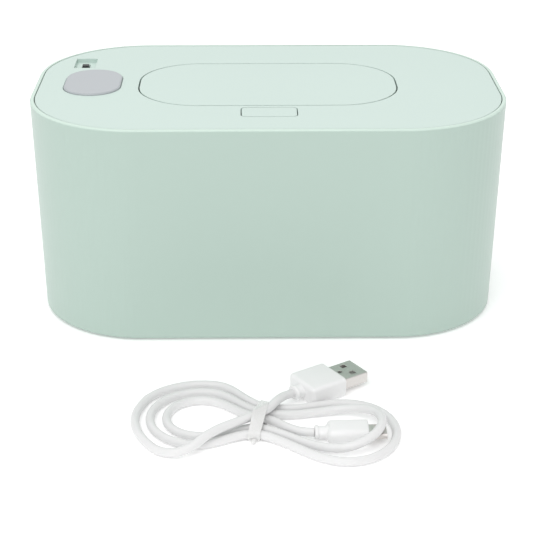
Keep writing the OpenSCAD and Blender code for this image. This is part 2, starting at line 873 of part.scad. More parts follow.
// Small screw: head below, shank up
module fix_screw(shank) {
    difference() {
        union() {
            cylinder(r = fix_head_r, h = fix_head_h);
            cylinder(r = fix_r, h = fix_head_h + shank);
        }
        block([-fix_slot_l, -fix_slot, -1], [fix_slot_l, fix_slot, fix_slot_h]);
        block([-fix_slot, -fix_slot_l, -1], [fix_slot, fix_slot_l, fix_slot_h]);
    }
}

module tray_screws() {
    color([0.75, 0.75, 0.77])
        for (p = tray_fix) {
            translate([p[0], p[1], tray_z])
                fix_screw(tray_t - fix_head_h + tray_bite);
        }
}

module cover_seal() {
    color([0.88, 0.90, 0.89])
        prism(tray_z - seal_t, tray_z)
            difference() {
                outline(seal_in);
                outline(seal_in + seal_w);
            }
}

module heat_plate() {
    color([0.82, 0.83, 0.84])
        prism(plate_z, film_z)
            difference() {
                outline(plate_in);
                throat_outline(throat_t + 1);
            }
}

module heater_film() {
    color([0.80, 0.55, 0.20])
        prism(film_z, tray_z)
            difference() {
                outline(film_in);
                throat_outline(throat_t + 3);
            }
}

module temp_sensor() {
    color([0.35, 0.55, 0.35])
        translate([sensor_x, sensor_y, tray_z]) {
            cylinder(r = sensor_r, h = tray_t + 1);
            for (y = [-0.9, 0.9]) {
                translate([0, y, tray_t + 1 - eps])
                    cylinder(r = 0.3, h = board_z - tray_top - 1 + eps);
            }
        }
}

module heater_wires() {
    color([0.75, 0.25, 0.20])
        for (y = [-0.5, 0.5]) {
            translate([wire_x, pill_y + y * wire_gap, tray_z])
                cylinder(r = wire_r, h = board_z - tray_z);
        }
}

module board_outline() {
    intersection() {
        union() {
            polygon([[board_left, board_front], [board_right, board_front],
                [board_right, board_back - strip_d], [strip_right, board_back - strip_d],
                [strip_right, board_back], [board_left, board_back]]);
        }
        outline(board_in);
    }
}

module control_board() {
    color([0.12, 0.40, 0.25])
        difference() {
            prism(board_z, board_top)
                board_outline();
            for (p = board_fix) {
                translate([p[0], p[1], board_z - 1])
                    cylinder(r = fix_r + 0.15, h = board_t + 2);
            }
        }
}

module board_screws() {
    color([0.75, 0.75, 0.77])
        for (p = board_fix) {
            translate([p[0], p[1], board_z - fix_head_h])
                fix_screw(board_t + board_bite);
        }
}

// Steel shell of the power socket, mouth at the back
module power_socket() {
    r = socket_h / 2 - eps;
    color([0.78, 0.78, 0.80])
        translate([0, socket_mouth - socket_l, socket_z])
            rotate([-90, 0, 0])
                difference() {
                    linear_extrude(socket_l)
                        rounded(socket_w, socket_h, r);
                    translate([0, 0, -1])
                        linear_extrude(socket_l + 2)
                            rounded(socket_w - 2 * socket_t, socket_h - 2 * socket_t, r - socket_t);
                }
}

module socket_tongue() {
    back_l = 1.2;
    color([0.12, 0.12, 0.13])
        translate([0, socket_mouth - socket_l, socket_z])
            rotate([-90, 0, 0]) {
                linear_extrude(back_l)
                    rounded(socket_w - 2 * socket_t, socket_h - 2 * socket_t,
                        socket_h / 2 - socket_t - eps);
                linear_extrude(socket_l - 1)
                    square([6.7, 0.7], center = true);
            }
}

module tact_switch() {
    color([0.16, 0.16, 0.17])
        translate([pill_x, pill_y, board_top]) {
            translate([-tact_w / 2, -tact_w / 2, 0])
                cube([tact_w, tact_w, tact_h]);
            cylinder(r = 1.7, h = tact_h + tact_tip);
        }
}

module slide_switch_case() {
    color([0.70, 0.71, 0.72])
        translate([recess_x, recess_y, board_top])
            difference() {
                translate([-switch_w / 2, -switch_d / 2, 0])
                    cube([switch_w, switch_d, switch_h]);
                translate([-lever_w / 2 - 0.15, -slot_d / 2, switch_h - switch_deep])
                    cube([lever_w + 0.3, slot_d, switch_deep + 1]);
            }
}

module status_led() {
    color([0.95, 0.95, 0.85])
        translate([pill_x, led_y, board_top]) {
            translate([-led_w / 2, -led_w / 2, 0])
                cube([led_w, led_w, led_h]);
            cylinder(r = 1.6, h = led_h + 0.3);
        }
}

// Silicone insert in the throat, with the slot that the wipes are pulled through
module dispensing_lip() {
    color([0.90, 0.93, 0.91])
        prism(collar_top - 2 - lip_t, collar_top - 2)
            difference() {
                throat_outline(0);
                translate([0, lid_y])
                    rounded(lip_slot_w, lip_slot_d, lip_slot_d / 2 - eps);
            }
}

module hinge_pin() {
    reach = arm_x + arm_w / 2 + bay_gap + lug_w;
    color([0.75, 0.75, 0.77])
        rod_x(-reach, reach, hinge_y, hinge_z, hinge_pin_r);
}

// Helix along +Z, for the springs
function helix(r, h, turns) =
    [for (i = [0:8 * turns]) [r * cos(45 * i), r * sin(45 * i), h * i / (8 * turns)]];

// One ring of a spring's wire, square to its heading
function wire_ring(p, dir, r) =
    let (out = unit([p[0], p[1], 0]), side = unit(cross(dir, out)), up = cross(side, dir))
    [for (k = [0:5]) p + r * (cos(60 * k) * up + sin(60 * k) * side)];

module coil(r, wire, h, turns) {
    route = helix(r, h, turns);
    n = len(route);
    rings = [for (i = [0:n - 1]) each wire_ring(route[i], heading(route, i), wire)];
    walls = [for (i = [0:n - 2], k = [0:5])
        let (a = i * 6 + k, b = i * 6 + (k + 1) % 6)
        each [[a, b, b + 6], [a, b + 6, a + 6]]];
    caps = concat([for (k = [1:4]) [0, k + 1, k]],
        [for (k = [1:4]) [(n - 1) * 6, (n - 1) * 6 + k, (n - 1) * 6 + k + 1]]);
    polyhedron(points = rings, faces = concat(walls, caps));
}

// A torsion spring on the hinge pin beside each arm
module lid_springs() {
    x0 = lug_in_x + lug_w + 0.3;
    x1 = arm_x - arm_w / 2 - 0.3;
    color([0.70, 0.70, 0.72])
        for (s = [0, 1]) {
            mirror([s, 0, 0])
                translate([x0 + spring_wire_r, hinge_y, hinge_z])
                    rotate([0, 90, 0])
                        coil(spring_r, spring_wire_r, x1 - x0 - 2 * spring_wire_r, spring_turns);
        }
}

module hook_pin() {
    reach = hook_half_w + 0.3 + hook_lug_w;
    color([0.75, 0.75, 0.77])
        rod_x(-reach, reach, hook_y, hook_z, hook_pin_r);
}

module latch_spring() {
    h = arm_top - 1.4 - tray_top - 0.2;
    color([0.70, 0.70, 0.72])
        translate([0, latch_spring_y, tray_top + 0.1 + latch_wire_r])
            coil(latch_spring_r, latch_wire_r, h - 2 * latch_wire_r, latch_spring_turns);
}

// Two silicone posts on the board that the grey button rests on
module button_cushions() {
    color([0.88, 0.88, 0.86])
        for (s = [-1, 1]) {
            translate([pill_x + s * cushion_x, pill_y, board_top])
                cylinder(r = cushion_r, h = skin_z + skin_t + pill_stand - pill_skin - board_top - 0.1);
        }
}

// ---------- moving pieces of the cover ----------

// Flip lid with the two curved arms that reach under the cover to the hinge pin
module flip_lid() {
    color([0.85, 0.92, 0.89])
        difference() {
            union() {
                // The skin's lower layer is drawn in, so that its back edge clears the well
                prism(lid_low, cover_top - eps)
                    lid_outline(-lid_edge_in);
                prism(cover_top - lid_edge_t, cover_top)
                    lid_outline(0);
                prism(lid_skirt_z, cover_top - eps)
                    difference() {
                        lid_outline(-lid_skirt_in);
                        lid_outline(-lid_skirt_in - lid_skirt_t);
                    }
                // Bar that the latch hook holds
                block([-hook_half_w, lid_front, lip_bar_z],
                    [hook_half_w, lid_front + lid_skirt_in + lid_skirt_t, lip_bar_z + lip_bar_h]);
                block([-hook_half_w, lid_front + lid_skirt_in, lip_bar_z],
                    [hook_half_w, lid_front + lid_skirt_in + lid_skirt_t, lid_low + eps]);
                for (s = [-1, 1]) {
                    hinge_arm(s * arm_x);
                }
            }
            rod_x(-arm_x - arm_w, arm_x + arm_w, hinge_y, hinge_z, hinge_pin_r + fit);
        }
}

// Curved arm: barrel, spoke down, arc forward, and a link up to the lid
module hinge_arm(x) {
    x0 = x - arm_w / 2;
    rod_x(x0, x0 + arm_w, hinge_y, hinge_z, barrel_r);
    translate([x0, hinge_y, hinge_z])
        rotate([90, 0, 90])
            linear_extrude(arm_w)
                arm_profile();
}

module arm_profile() {
    difference() {
        circle(arm_out_r);
        circle(arm_in_r);
        translate([-arm_out_r - 1, 0])
            square([2 * arm_out_r + 2, arm_out_r + 1]);
        translate([arm_t / 2, -arm_out_r - 1])
            square([arm_out_r + 1, arm_out_r + 2]);
    }
    // Spoke from the barrel down to the arc
    translate([-arm_t / 2, -arm_in_r - arm_t / 2])
        square([arm_t, arm_in_r + arm_t / 2]);
    // Link from the arc's front end up to the lid's skin
    translate([-arm_out_r, -eps])
        square([arm_t, hinge_depth - lid_t + 2 * eps]);
}

module lid_liner() {
    color([0.94, 0.95, 0.95])
        prism(liner_z, lid_low)
            lid_outline(-lid_skirt_in - lid_skirt_t - 2.6);
}

module lid_gasket() {
    ring_w = 3;
    color([0.90, 0.91, 0.90])
        prism(gasket_z, liner_z)
            difference() {
                throat_outline(throat_t / 2 + ring_w / 2);
                throat_outline(throat_t / 2 - ring_w / 2);
            }
}

module latch_button() {
    stem_w = 7;
    color([0.86, 0.92, 0.90]) {
        prism(cover_top - latch_t, cover_top)
            latch_outline(0);
        for (s = [-1, 1]) {
            x = s * (latch_w / 2 - 0.8);
            block([x - 0.6, latch_y - latch_d / 2 + latch_r, skin_z - 3],
                [x + 0.6, latch_y + latch_d / 2 - latch_r, cover_top - latch_t + eps]);
        }
        block([-stem_w / 2, stem_y - 0.5, arm_top + fit],
            [stem_w / 2, stem_y + 0.5, cover_top - latch_t + eps]);
    }
}

// Rocking hook under the latch button
module latch_hook() {
    color([0.90, 0.92, 0.91])
        difference() {
            union() {
                rod_x(-hook_half_w, hook_half_w, hook_y, hook_z, hook_boss_r);
                translate([-hook_half_w, 0, 0])
                    rotate([90, 0, 90])
                        linear_extrude(2 * hook_half_w)
                            polygon([[hook_y, hook_z], [hook_back, hook_z + 1], [hook_back, nose_low],
                                [nose_y, nose_low], [nose_y, nose_low + 0.8], [nose_y - 0.8, nose_top],
                                [hook_back - hook_t, nose_top], [hook_back - hook_t, arm_top],
                                [arm_end, arm_top], [arm_end, arm_top - 1.4]]);
            }
            rod_x(-hook_half_w - 1, hook_half_w + 1, hook_y, hook_z, hook_pin_r + fit);
        }
}

// Sloping edge of the grey button: a cone at each end and a straight length between them
module pill_bevel(z, edge) {
    half = pill_d / 2 - pill_r;
    for (y = [-half, half]) {
        translate([pill_x, pill_y + y, z])
            cylinder(r1 = pill_r, r2 = pill_r - edge, h = edge + eps);
    }
    translate([pill_x, pill_y + half, z])
        rotate([90, 0, 0])
            linear_extrude(2 * half)
                polygon([[-pill_r, 0], [pill_r, 0], [pill_r - edge, edge + eps], [edge - pill_r, edge + eps]]);
}

// Grey button: a bevelled cap with a flange that holds it under the cover's skin
module heat_button() {
    top = cover_top + pill_stand;
    edge = 0.5;
    color([0.77, 0.79, 0.80])
        difference() {
            union() {
                prism(top - pill_skin, top - edge)
                    pill_outline(0);
                pill_bevel(top - edge - eps, edge);
                prism(pill_low, top - pill_skin + eps)
                    pill_outline(0);
                prism(pill_low, skin_z - 0.1)
                    pill_outline(pill_flange);
            }
            difference() {
                prism(pill_low - 1, top - pill_skin)
                    pill_outline(-1.4);
                translate([pill_x, pill_y, tact_top + pill_travel + fit])
                    cylinder(r = 2, h = 20);
            }
        }
}

module switch_lever() {
    foot_l = lever_d + 0.8;
    rest_y = recess_y - lever_travel / 2;
    foot_z = switch_top - switch_deep + 0.05;
    color([0.13, 0.14, 0.14]) {
        translate([recess_x - lever_w / 2, rest_y - lever_d / 2, foot_z])
            cube([lever_w, lever_d, cover_top - 0.4 - foot_z]);
        translate([recess_x - lever_w / 2, rest_y - min(foot_l, slot_d - lever_travel) / 2 + fit, foot_z])
            cube([lever_w, min(foot_l, slot_d - lever_travel) - 2 * fit, 1]);
    }
}

// ---------- lead ----------

module lead_hank() {
    color([0.93, 0.93, 0.93])
        on_floor()
            tube(hank_path(hank_rings), cord_r, hank_sides,
                [-cos(plug_c_turn), -sin(plug_c_turn), 0], hank_end_dir);
}

module lead_tail() {
    color([0.93, 0.93, 0.93])
        on_floor()
            tube(tail_points, cord_r, tail_sides, hank_end_dir, plug_a_dir);
}

// How far a route reaches to one side of the middle line within the tie's width
function reach_at_tie(route, side) =
    max([for (i = [0:len(route) - 2])
        let (a = route[i], step = route[i + 1] - a,
            low = max(min(a[0], a[0] + step[0]), tie_x - tie_w / 2),
            high = min(max(a[0], a[0] + step[0]), tie_x + tie_w / 2))
        if (low < high)
            each [for (x = [low, high])
                side * (a[1] + step[1] * (x - a[0]) / step[0]) + cord_r * norm(step) / abs(step[0])]]);

// Flat tie around the hank's waist and the tail that crosses it
module lead_tie() {
    hank = hank_path(hank_rings);
    back = reach_at_tie(hank, 1) + tie_room;
    front = reach_at_tie(hank, -1) + tie_room;
    run_top = cord_d + tie_rise + 0.15;
    tail_top = tail_over + cord_r + 0.15;
    tail_y = [-reach_at_tie(tail_points, -1), reach_at_tie(tail_points, 1)];
    color([0.95, 0.95, 0.95])
        on_floor() {
            translate([tie_x - tie_w / 2, 0, 0])
                rotate([90, 0, 90])
                    linear_extrude(tie_w)
                        difference() {
                            tie_outline(back + tie_t, front + tie_t, run_top + tie_t, tail_top + tie_t,
                                tail_y, 0);
                            tie_outline(back, front, run_top, tail_top, tail_y, tie_t);
                        }
            // Twisted ends of the tie at the front
            block([tie_x - 1.2, -front - tie_t - 3, 0.4], [tie_x + 1.2, -front - tie_t + eps, 2]);
        }
}

module tie_outline(back, front, run_top, tail_top, tail_y, low) {
    polygon([[-front, low], [back, low], [back, run_top], [tail_y[1], tail_top],
        [tail_y[0], tail_top], [-front, run_top]]);
}

module usb_a_grip() {
    pocket_l = 6;
    color([0.95, 0.95, 0.95])
        at_plug_a()
            difference() {
                union() {
                    bar(0, collar_a_l + eps, collar_a_w, collar_a_h, 2);
                    // Grip with round corners at its cord end, seen from above
                    intersection() {
                        bar(collar_a_l, collar_a_l + plug_a_l, plug_a_w, plug_a_h, 1.2);
                        prism(-plug_a_h, plug_a_h)
                            translate([collar_a_l + plug_a_l, 0])
                                rounded(2 * plug_a_l, plug_a_w + 2 * eps, plug_a_corner);
                    }
                }
                bar(collar_a_l + plug_a_l - pocket_l, collar_a_l + plug_a_l + 1, tip_a_w, tip_a_h, 0.4);
            }
}

// Folded steel shell of the large plug, with its two square windows and a round one
module usb_a_shell() {
    x0 = collar_a_l + plug_a_l - 5.8;
    x1 = collar_a_l + plug_a_l + tip_a_l;
    color([0.74, 0.73, 0.72])
        at_plug_a()
            difference() {
                bar(x0, x1, tip_a_w, tip_a_h, 0.4);
                bar(x0 - 1, x1 + 1, tip_a_w - 2 * tip_t, tip_a_h - 2 * tip_t, tip_edge);
                for (y = [-3, 3]) {
                    block([x1 - 6.3, y - 1.15, -5], [x1 - 4, y + 1.15, 5]);
                }
                translate([x1 - 9, 0, 0])
                    cylinder(r = 0.9, h = 5);
            }
}

module usb_a_tongue() {
    x0 = collar_a_l + plug_a_l - 5.8;
    x1 = collar_a_l + plug_a_l + tip_a_l;
    half = tip_a_w / 2 - tip_t - tip_edge;
    color([0.90, 0.90, 0.88])
        at_plug_a() {
            block([x0, -half, -tip_a_h / 2 + tip_t], [x1 - 0.3, half, 0]);
            block([x0, -half, -eps], [x0 + 3, half, tip_a_h / 2 - tip_t]);
        }
}

module usb_c_grip() {
    pocket_l = 3;
    x1 = collar_c_l + plug_c_l;
    color([0.95, 0.95, 0.95])
        at_plug_c()
            difference() {
                union() {
                    bar(0, collar_c_l + eps, collar_c_w, collar_c_h, 2);
                    bar(collar_c_l, x1, plug_c_w, plug_c_h, 2.2);
                }
                bar(x1 - pocket_l, x1 + 1, tip_c_w, tip_c_h, tip_c_h / 2 - eps);
            }
}

module usb_c_tip() {
    x1 = collar_c_l + plug_c_l;
    color([0.74, 0.73, 0.72])
        at_plug_c()
            difference() {
                bar(x1 - 2.8, x1 + tip_c_l, tip_c_w, tip_c_h, tip_c_h / 2 - eps);
                bar(x1 - 1, x1 + tip_c_l + 1, tip_c_w - 2 * tip_t, tip_c_h - 2 * tip_t,
                    tip_c_h / 2 - tip_t - eps);
            }
}

fine_hank = hank_path(60);
echo(str("least gap of the hank to itself, mm: ", self_gap(fine_hank, 16)));
echo(str("least gap of the tail to the hank, mm: ",
    route_gap([for (i = [2:len(tail_points) - 1]) tail_points[i]],
        [for (i = [0:len(fine_hank) - 5]) fine_hank[i]])));
echo(str("length of the lead, mm: ", route_length(fine_hank) + route_length(tail_points)));

outer_shell();
inner_tank();
foam_sleeve();
tank_screws();
foot_pads();
cover_plate();
cover_tray();
tray_screws();
cover_seal();
heat_plate();
heater_film();
temp_sensor();
heater_wires();
control_board();
board_screws();
power_socket();
socket_tongue();
tact_switch();
slide_switch_case();
status_led();
dispensing_lip();
hinge_pin();
lid_springs();
hook_pin();
latch_spring();
button_cushions();
flip_lid();
lid_liner();
lid_gasket();
latch_button();
latch_hook();
heat_button();
switch_lever();
lead_hank();
lead_tail();
lead_tie();
usb_a_grip();
usb_a_shell();
usb_a_tongue();
usb_c_grip();
usb_c_tip();
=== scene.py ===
# Looks of the wipe warmer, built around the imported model. Metres, +Z up, camera on -Y.
import math

import bmesh
import bpy
from mathutils import Matrix, Vector


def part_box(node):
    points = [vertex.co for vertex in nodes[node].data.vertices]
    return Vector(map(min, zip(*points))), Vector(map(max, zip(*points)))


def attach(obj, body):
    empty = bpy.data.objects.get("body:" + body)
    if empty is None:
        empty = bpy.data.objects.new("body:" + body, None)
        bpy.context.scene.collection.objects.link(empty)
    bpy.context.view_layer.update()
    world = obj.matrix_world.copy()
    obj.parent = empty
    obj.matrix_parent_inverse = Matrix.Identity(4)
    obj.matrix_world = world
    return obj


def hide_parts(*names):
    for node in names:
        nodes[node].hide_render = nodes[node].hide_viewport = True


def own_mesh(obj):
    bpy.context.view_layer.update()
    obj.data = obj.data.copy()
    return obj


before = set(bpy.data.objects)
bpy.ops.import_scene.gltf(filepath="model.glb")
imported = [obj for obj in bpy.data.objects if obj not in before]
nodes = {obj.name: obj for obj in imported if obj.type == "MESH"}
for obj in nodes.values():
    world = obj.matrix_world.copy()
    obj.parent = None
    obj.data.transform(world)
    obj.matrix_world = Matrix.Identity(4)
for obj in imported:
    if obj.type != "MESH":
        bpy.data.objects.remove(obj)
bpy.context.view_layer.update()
scene = bpy.context.scene
mm = 0.001
print("frame loaded:", len(nodes), "nodes")


cameraSettings = {
    "place": (-0.00906, -0.58574, 0.27482),
    "up": (0.0047, 0.4163, 0.9092),
    "forward": (0.0133, 0.9091, -0.4163),
    "fieldDegrees": 21.422,
    "sensorWidth": 36,
    "nearest": 0.01,
    "furthest": 20,
}


def makeCamera(settings):
    data = bpy.data.cameras.new("photoCamera")
    data.sensor_width = settings["sensorWidth"]
    data.angle = math.radians(settings["fieldDegrees"])
    data.clip_start = settings["nearest"]
    data.clip_end = settings["furthest"]
    data.dof.use_dof = False
    camera = bpy.data.objects.new("photoCamera", data)
    scene.collection.objects.link(camera)
    forward = Vector(settings["forward"]).normalized()
    right = forward.cross(Vector(settings["up"])).normalized()
    up = right.cross(forward)
    turned = Matrix((right, up, -forward)).transposed().to_4x4()
    turned.translation = Vector(settings["place"])
    camera.matrix_world = turned
    scene.camera = camera


makeCamera(cameraSettings)
print("camera made")


def newPiece(name, bm, body, sharpDegrees=35):
    mesh = bpy.data.meshes.new(name)
    bmesh.ops.recalc_face_normals(bm, faces=bm.faces)
    bm.to_mesh(mesh)
    bm.free()
    for face in mesh.polygons:
        face.use_smooth = True
    mesh.set_sharp_from_angle(angle=math.radians(sharpDegrees))
    piece = bpy.data.objects.new(name, mesh)
    scene.collection.objects.link(piece)
    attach(piece, body)
    return piece


def edgesWhere(bm, test):
    # edges whose two ends both pass a test
    return [edge for edge in bm.edges if all(test(v.co) for v in edge.verts)]


def easeEdges(bm, edges, offset, segments):
    bmesh.ops.bevel(
        bm, geom=edges, offset=offset, offset_type="OFFSET", affect="EDGES",
        segments=segments, profile=0.5, material=-1, clamp_overlap=False,
    )


quarterAboutY = Matrix.Rotation(math.pi / 2, 3, "Y")


def stackRings(bm, sections, sides):
    # a closed turned shape along +X: each section is its place, its width and its height
    first = sections[0]
    made = bmesh.ops.create_circle(bm, cap_ends=True, radius=0.5, segments=sides)["verts"]
    bmesh.ops.rotate(bm, verts=made, cent=(0, 0, 0), matrix=quarterAboutY)
    bmesh.ops.scale(bm, vec=(1, first[1], first[2]), verts=made)
    bmesh.ops.translate(bm, vec=(first[0], 0, 0), verts=made)
    loop = [edge for edge in bm.edges if edge.verts[0] in made and edge.verts[1] in made]
    for before, after in zip(sections, sections[1:]):
        grown = bmesh.ops.extrude_edge_only(bm, edges=loop)["geom"]
        ring = [item for item in grown if isinstance(item, bmesh.types.BMVert)]
        edges = [item for item in grown if isinstance(item, bmesh.types.BMEdge)]
        loop = [edge for edge in edges if all(v in ring for v in edge.verts)]
        bmesh.ops.scale(bm, vec=(1, after[1] / before[1], after[2] / before[2]), verts=ring)
        bmesh.ops.translate(bm, vec=(after[0] - before[0], 0, 0), verts=ring)
    bmesh.ops.contextual_create(bm, geom=loop)


# lengths in mm: long loops, drawn in at the waist by the tie, with a round lobe at each end
leadSettings = {
    "diameter": 3.4,
    "turns": 2.43,
    "half": 27.6,
    "innerRadius": 10.8,
    "waistIn": 2.0,
    "turnStep": 6.2,
    "waistStep": 4.2,
    "lobeLess": 1.8,
    "waistX": -4.0,
    "tieX": -5.0,
    "tieRise": 0.6,
    "tieReach": 14.0,
    "place": (0.2, -131.5),
    "turnDegrees": -12.5,
    "lobeFlat": 0.9,
    "lift": 5.2,
    "liftAt": 0.875,
    "liftHalf": 0.2,
    "smallPlug": (16.4, -4.2, 3.0),
    "smallPlugDegrees": 13.0,
    "largePlug": (3.5, 20.9, 4.0),
    "largePlugDegrees": 46.0,
    "tail": (
        (-43, -21.8, 1.7), (-37.4, -26.2, 1.8), (-30.8, -27.4, 2.4), (-25, -24.6, 4),
        (-20.8, -19, 5.9), (-16.4, -13, 6.3), (-11.4, -7.4, 6.3), (-6.4, -1.8, 6.3),
        (-2.6, 4.2, 6.3), (-0.6, 10.4, 6.3), (1, 15.8, 5.3),
    ),
    "plugRunUntil": 0.2,
    "stepsPerTurn": 72,
    "stepsPerSpan": 6,
    "easeReach": 5,
    "easePasses": 3,
    "bevelSteps": 6,
}


def leadFrame(x, y, z):
    # a point of the lead's own plane, in mm, as a place on the floor, in metres
    a = math.radians(leadSettings["turnDegrees"])
    px, py = leadSettings["place"]
    return Vector((
        (px + x * math.cos(a) - y * math.sin(a)) * mm,
        (py + x * math.sin(a) + y * math.cos(a)) * mm,
        z * mm,
    ))


def leftRadius(u):
    return leadSettings["innerRadius"] + leadSettings["turnStep"] * u


def rightRadius(u):
    return leftRadius(u) - leadSettings["lobeLess"]


def waistOff(u):
    return leadSettings["waistIn"] + leadSettings["waistStep"] * u


def runOff(u, x):
    # how far a run lies from the hank's middle line
    s = leadSettings
    if x > s["waistX"]:
        radius, share = rightRadius(u), (x - s["waistX"]) / (s["half"] - s["waistX"])
    else:
        radius, share = leftRadius(u), (s["waistX"] - x) / (s["half"] + s["waistX"])
    return (radius + waistOff(u)) / 2 - (radius - waistOff(u)) / 2 * math.cos(math.pi * share)


def hankPoint(u):
    # the cord's middle after u turns of the hank, each in quarters: run, lobe, run, lobe
    s = leadSettings
    quarter = math.floor(4 * u)
    f = 4 * u - quarter
    side = quarter % 4
    x = s["half"] * (1 - 2 * f)
    plugX, plugY, plugZ = s["smallPlug"]
    share = (x - s["waistX"]) / (plugX - s["waistX"])
    z = s["diameter"] / 2
    if side == 0 and u < 1 and x > s["waistX"]:
        eased = (1 - math.cos(math.pi * share)) / 2
        slope = math.tan(math.radians(s["smallPlugDegrees"]))
        aim = plugY - slope * (1 - share) * (plugX - s["waistX"])
        p = (x, waistOff(u) + (aim - waistOff(u)) * eased)
        if u < s["plugRunUntil"]:
            z += (plugZ - s["diameter"] / 2) * eased
    elif side == 0:
        p = (x, runOff(u, x))
    elif side == 1:
        a = math.pi / 2 + math.pi * f
        p = (-s["half"] + leftRadius(u) * math.cos(a), leftRadius(u) * math.sin(a))
    elif side == 2:
        p = (-x, -runOff(u, -x))
    else:
        a = math.pi * f - math.pi / 2
        p = (s["half"] + s["lobeFlat"] * rightRadius(u) * math.cos(a), rightRadius(u) * math.sin(a))
    # the innermost turn passes over the small plug's tip
    off = abs(u - s["liftAt"])
    if off < s["liftHalf"]:
        z += s["lift"] * (1 + math.cos(math.pi * off / s["liftHalf"])) / 2
    off = abs(p[0] - s["tieX"])
    if off < s["tieReach"]:
        z += s["tieRise"] * (1 + math.cos(math.pi * off / s["tieReach"])) / 2
    return (p[0], p[1], z)


def splinePoint(a, b, c, d, t):
    # between b and c, on a smooth curve through all four
    a, b, c, d = Vector(a), Vector(b), Vector(c), Vector(d)
    square, cube = 2 * a - 5 * b + 4 * c - d, 3 * b - a - 3 * c + d
    return 0.5 * (2 * b + (c - a) * t + square * t * t + cube * t * t * t)


def leadRoute():
    s = leadSettings
    start = (1 - s["smallPlug"][0] / s["half"]) / 8
    steps = math.ceil((s["turns"] - start) * s["stepsPerTurn"])
    hank = [hankPoint(start + (s["turns"] - start) * i / steps) for i in range(steps + 1)]
    tail = [hank[-1], *s["tail"], s["largePlug"]]
    route = [Vector(p) for p in hank]
    last = len(tail) - 1
    for i in range(last):
        four = (tail[max(i - 1, 0)], tail[i], tail[i + 1], tail[min(i + 2, last)])
        route += [splinePoint(*four, (k + 1) / s["stepsPerSpan"]) for k in range(s["stepsPerSpan"])]
    # ease the joint between the last loop and the free stretch
    joint = len(hank) - 1
    for _ in range(s["easePasses"]):
        eased = [p.copy() for p in route]
        for i in range(joint - s["easeReach"], joint + s["easeReach"] + 1):
            eased[i] = (route[i - 1] + route[i] * 2 + route[i + 1]) / 4
        route = eased
    return route


def makeLead():
    route = [leadFrame(*p) for p in leadRoute()]
    curve = bpy.data.curves.new("leadCord", "CURVE")
    curve.dimensions = "3D"
    curve.resolution_u = 1
    curve.bevel_depth = 1  # each point's radius is then the cord's own
    curve.bevel_resolution = leadSettings["bevelSteps"]
    curve.use_fill_caps = True
    spline = curve.splines.new("POLY")
    spline.points.add(len(route) - 1)
    for point, p in zip(spline.points, route):
        point.co = (*p, 1)
        point.radius = leadSettings["diameter"] / 2 * mm
    spline.use_smooth = True
    piece = bpy.data.objects.new("leadCord", curve)
    scene.collection.objects.link(piece)
    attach(piece, "lead")
    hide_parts("lead_hank", "lead_tail")
    length = sum((b - a).length for a, b in zip(route, route[1:]))
    print("lead made, length", round(length, 4))
    return piece, route


leadCord, leadPath = makeLead()


def leadPlane():
    # from the lead's own plane, in mm, to the floor, in metres
    x, y = leadSettings["place"]
    turn = Matrix.Rotation(math.radians(leadSettings["turnDegrees"]), 4, "Z")
    return Matrix.Translation((x * mm, y * mm, 0)) @ turn @ Matrix.Scale(mm, 4)


gripMesh = {"hair": 0.0001, "roundSteps": 8, "frontSteps": 4, "collarSides": 40, "sharpDegrees": 50}


def makeGrip(name, settings):
    # moulded grip: an oval collar with a flange, and a block with all its edges eased
    begin, end = settings["block"]
    width, height = settings["size"]
    bm = bmesh.new()
    bmesh.ops.create_cube(bm, size=1)
    bmesh.ops.scale(bm, vec=(end - begin, width, height), verts=bm.verts)
    bmesh.ops.translate(bm, vec=((begin + end) / 2, 0, 0), verts=bm.verts)
    atFront = end - gripMesh["hair"]
    behind = [edge for edge in bm.edges if not all(v.co.x > atFront for v in edge.verts)]
    easeEdges(bm, behind, settings["round"], gripMesh["roundSteps"])
    easeEdges(bm, edgesWhere(bm, lambda p: p.x > atFront), settings["front"], gripMesh["frontSteps"])
    stackRings(bm, settings["collar"], gripMesh["collarSides"])
    turn = Matrix.Rotation(math.radians(settings["degrees"]), 4, "Z")
    place = Matrix.Translation(settings["place"]) @ turn
    bm.transform(leadPlane() @ place)
    piece = newPiece(name, bm, "lead", sharpDegrees=gripMesh["sharpDegrees"])
    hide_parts(settings["node"])
    return piece


# collar sections: how far from the cord's end, width, height
largeGripSettings = {
    "node": "usb_a_grip",
    "place": leadSettings["largePlug"],
    "degrees": leadSettings["largePlugDegrees"],
    "collar": (
        (0.0, 5.6, 4.8), (0.2, 6.4, 5.5), (0.5, 6.9, 5.9), (1.1, 6.9, 5.9),
        (1.35, 6.5, 5.6), (1.5, 5.7, 4.9), (1.7, 5.5, 4.8), (3.3, 5.8, 5.0),
        (3.7, 6.4, 5.5), (4.4, 6.6, 5.6),
    ),
    "block": (3.7, 19.7),
    "size": (16.7, 8.0),
    "front": 0.5,
    "round": 1.6,
}
smallGripSettings = {
    "node": "usb_c_grip",
    "place": leadSettings["smallPlug"],
    "degrees": leadSettings["smallPlugDegrees"],
    "collar": (
        (0.0, 5.6, 3.8), (0.2, 6.6, 4.5), (0.5, 7.2, 4.9), (1.1, 7.2, 4.9),
        (1.35, 6.8, 4.6), (1.5, 5.9, 4.1), (3.9, 6.1, 4.3),
        (4.4, 6.8, 4.9), (5.2, 7.0, 5.0),
    ),
    "block": (4.4, 19.9),
    "size": (11.0, 6.0),
    "front": 0.6,
    "round": 2.3,
}
largeGrip = makeGrip("largePlugGrip", largeGripSettings)
smallGrip = makeGrip("smallPlugGrip", smallGripSettings)


